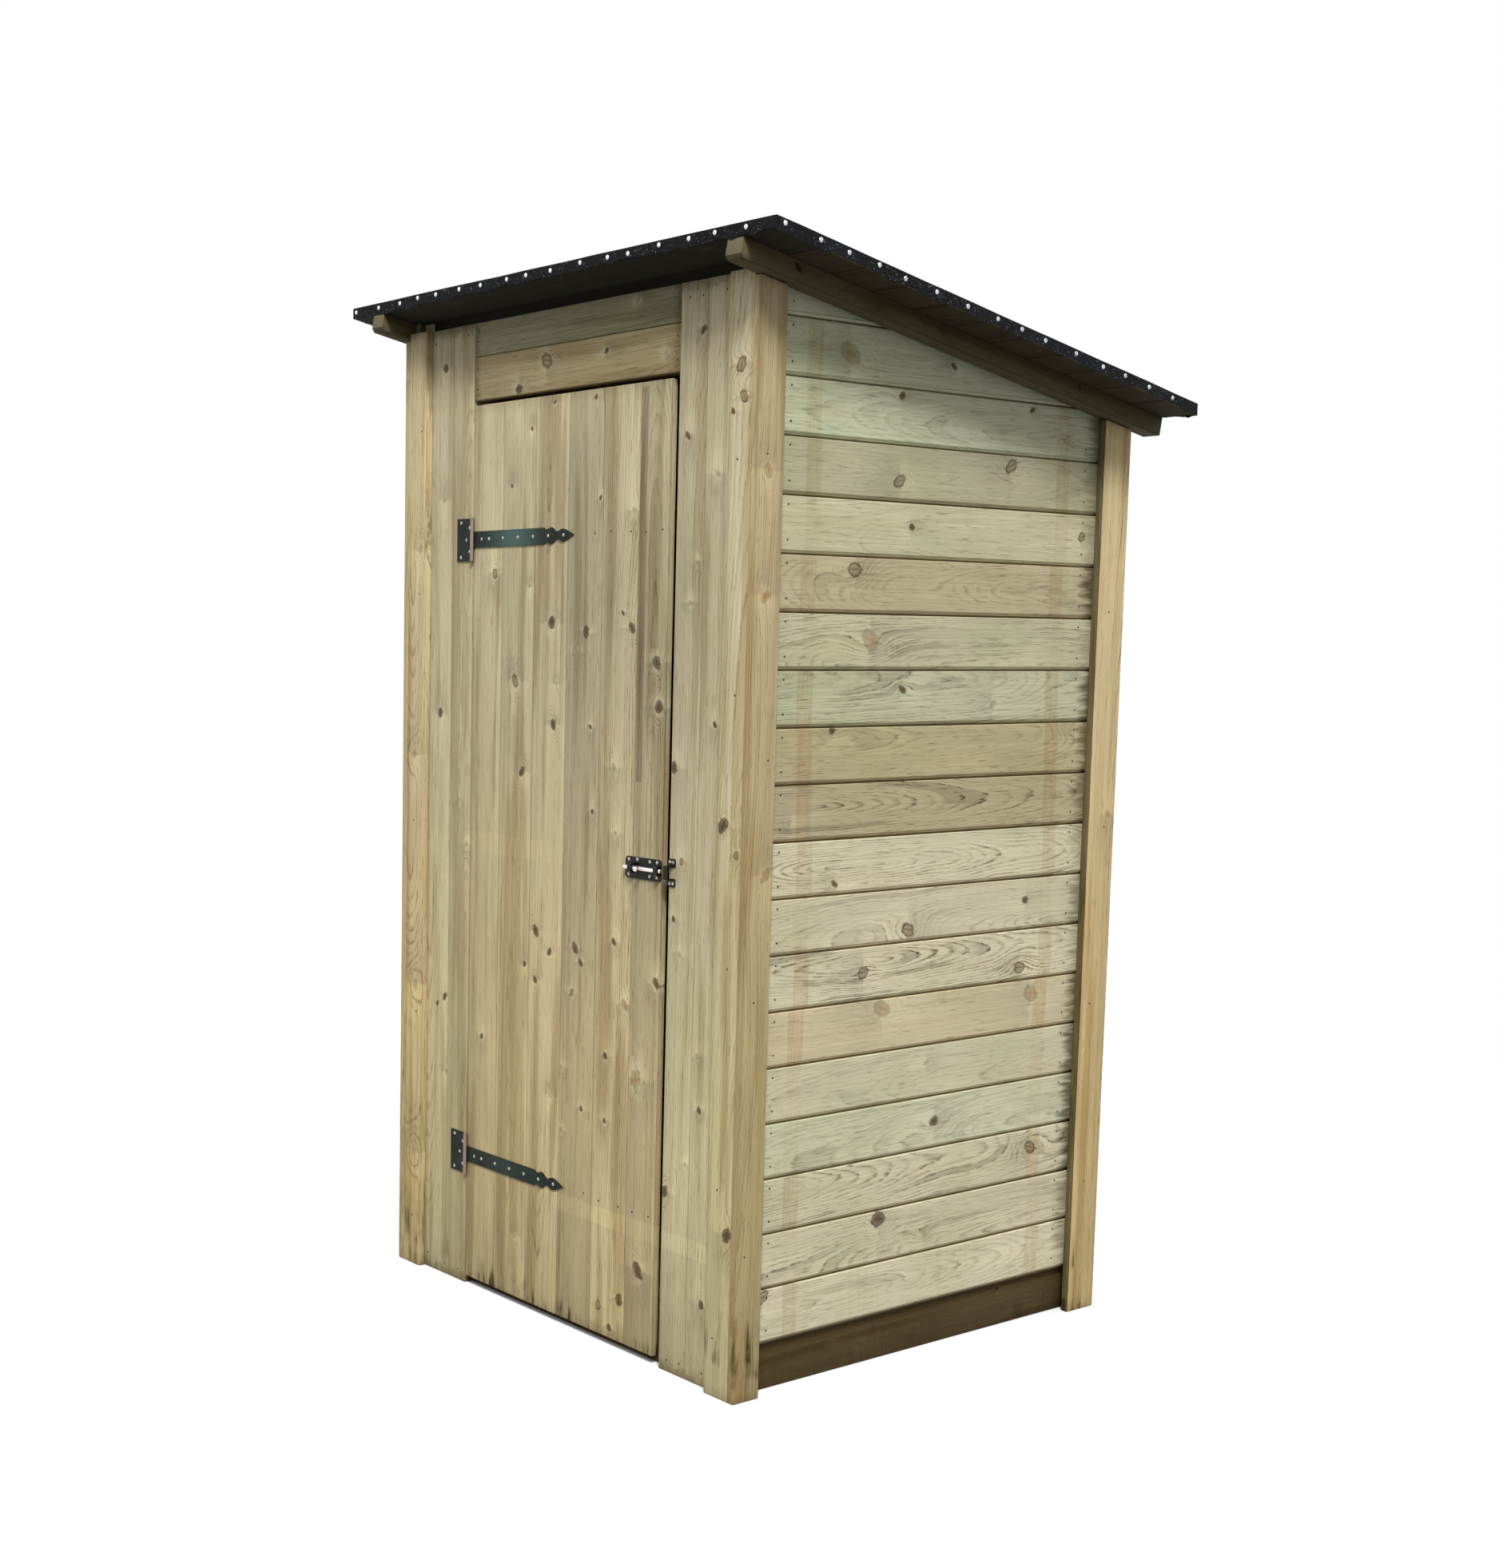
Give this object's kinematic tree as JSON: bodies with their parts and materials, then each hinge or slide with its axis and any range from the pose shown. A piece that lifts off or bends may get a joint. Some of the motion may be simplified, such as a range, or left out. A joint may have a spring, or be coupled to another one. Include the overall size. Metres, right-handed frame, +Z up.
{
  "type": "wooden outhouse",
  "caption": "Small timber outhouse with a lean-to felt roof, boarded walls and a boarded door on ornamental T-hinges with a sliding bolt.",
  "frame": {"origin": "on the ground, under the middle of the roof", "axes": "+X to the right seen from the front, +Y from the door to the back, +Z up"},
  "size_m": [1.43, 1.279, 2.2857],
  "materials": {
    "front_boards": "planed pressure-treated softwood, upright boards",
    "door_boards": "planed pressure-treated softwood, upright boards",
    "side_boards": "sawn pressure-treated softwood, grey-green bloom",
    "trim_timber": "planed softwood, warm tan",
    "frame_timber": "sawn softwood",
    "weathered_timber": "sawn softwood gone dark brown",
    "floor_timber": "sawn softwood boards",
    "mineral_felt": "dark mineral-surfaced roofing felt",
    "hinge_iron": "black japanned steel with a dull sheen",
    "latch_iron": "gloss black enamel",
    "latch_steel": "gloss black enamel, worn bright"
  },
  "bodies": {
    "cabin": {"base_beam_front": "weathered_timber", "base_beam_left": "weathered_timber", "base_beam_rear": "weathered_timber", "base_beam_right": "weathered_timber", "corner_post_front_left": "frame_timber", "corner_post_front_right": "frame_timber", "corner_post_rear_left": "frame_timber", "corner_post_rear_right": "frame_timber", "door_head_rail": "frame_timber", "door_post_left": "frame_timber", "door_post_right": "frame_timber", "floor_boards": "floor_timber", "front_cladding_left": "front_boards", "front_cladding_right": "front_boards", "front_mid_rails": "frame_timber", "front_top_rail": "frame_timber", "front_trim_left": "trim_timber", "front_trim_right": "trim_timber", "header_board_lower": "front_boards", "header_board_upper": "front_boards", "latch_keeper": "latch_iron", "lower_hinge_plate": "hinge_iron", "rear_cladding": "side_boards", "rear_mid_rail": "frame_timber", "rear_top_rail": "frame_timber", "rear_trim_left": "trim_timber", "rear_trim_right": "trim_timber", "roof_bearer_left": "weathered_timber", "roof_bearer_right": "weathered_timber", "roof_boards": "weathered_timber", "roof_felt": "mineral_felt", "side_cladding_left": "side_boards", "side_cladding_right": "side_boards", "side_mid_rails": "frame_timber", "side_top_rail_left": "frame_timber", "side_top_rail_right": "frame_timber", "side_trim_front_left": "trim_timber", "side_trim_front_right": "trim_timber", "side_trim_rear_left": "trim_timber", "side_trim_rear_right": "trim_timber", "upper_hinge_plate": "hinge_iron"},
    "door": {"door_leaf": "door_boards", "door_ledge_lower": "frame_timber", "door_ledge_upper": "frame_timber", "latch_plate": "latch_iron", "lower_hinge_strap": "hinge_iron", "upper_hinge_strap": "hinge_iron"},
    "bolt": {"latch_bolt": "latch_steel"}
  },
  "joints": [
    {"name": "door_hinge", "type": "hinge", "parent": "cabin", "child": "door", "pos_m": [-0.344, -0.5473, 1.0245], "axis": [0, 0, -1], "range_deg": [0, 170]},
    {"name": "bolt_slide", "type": "slide", "parent": "door", "child": "bolt", "axis": [1, 0, 0], "range_m": [0, 0.028]}
  ]
}
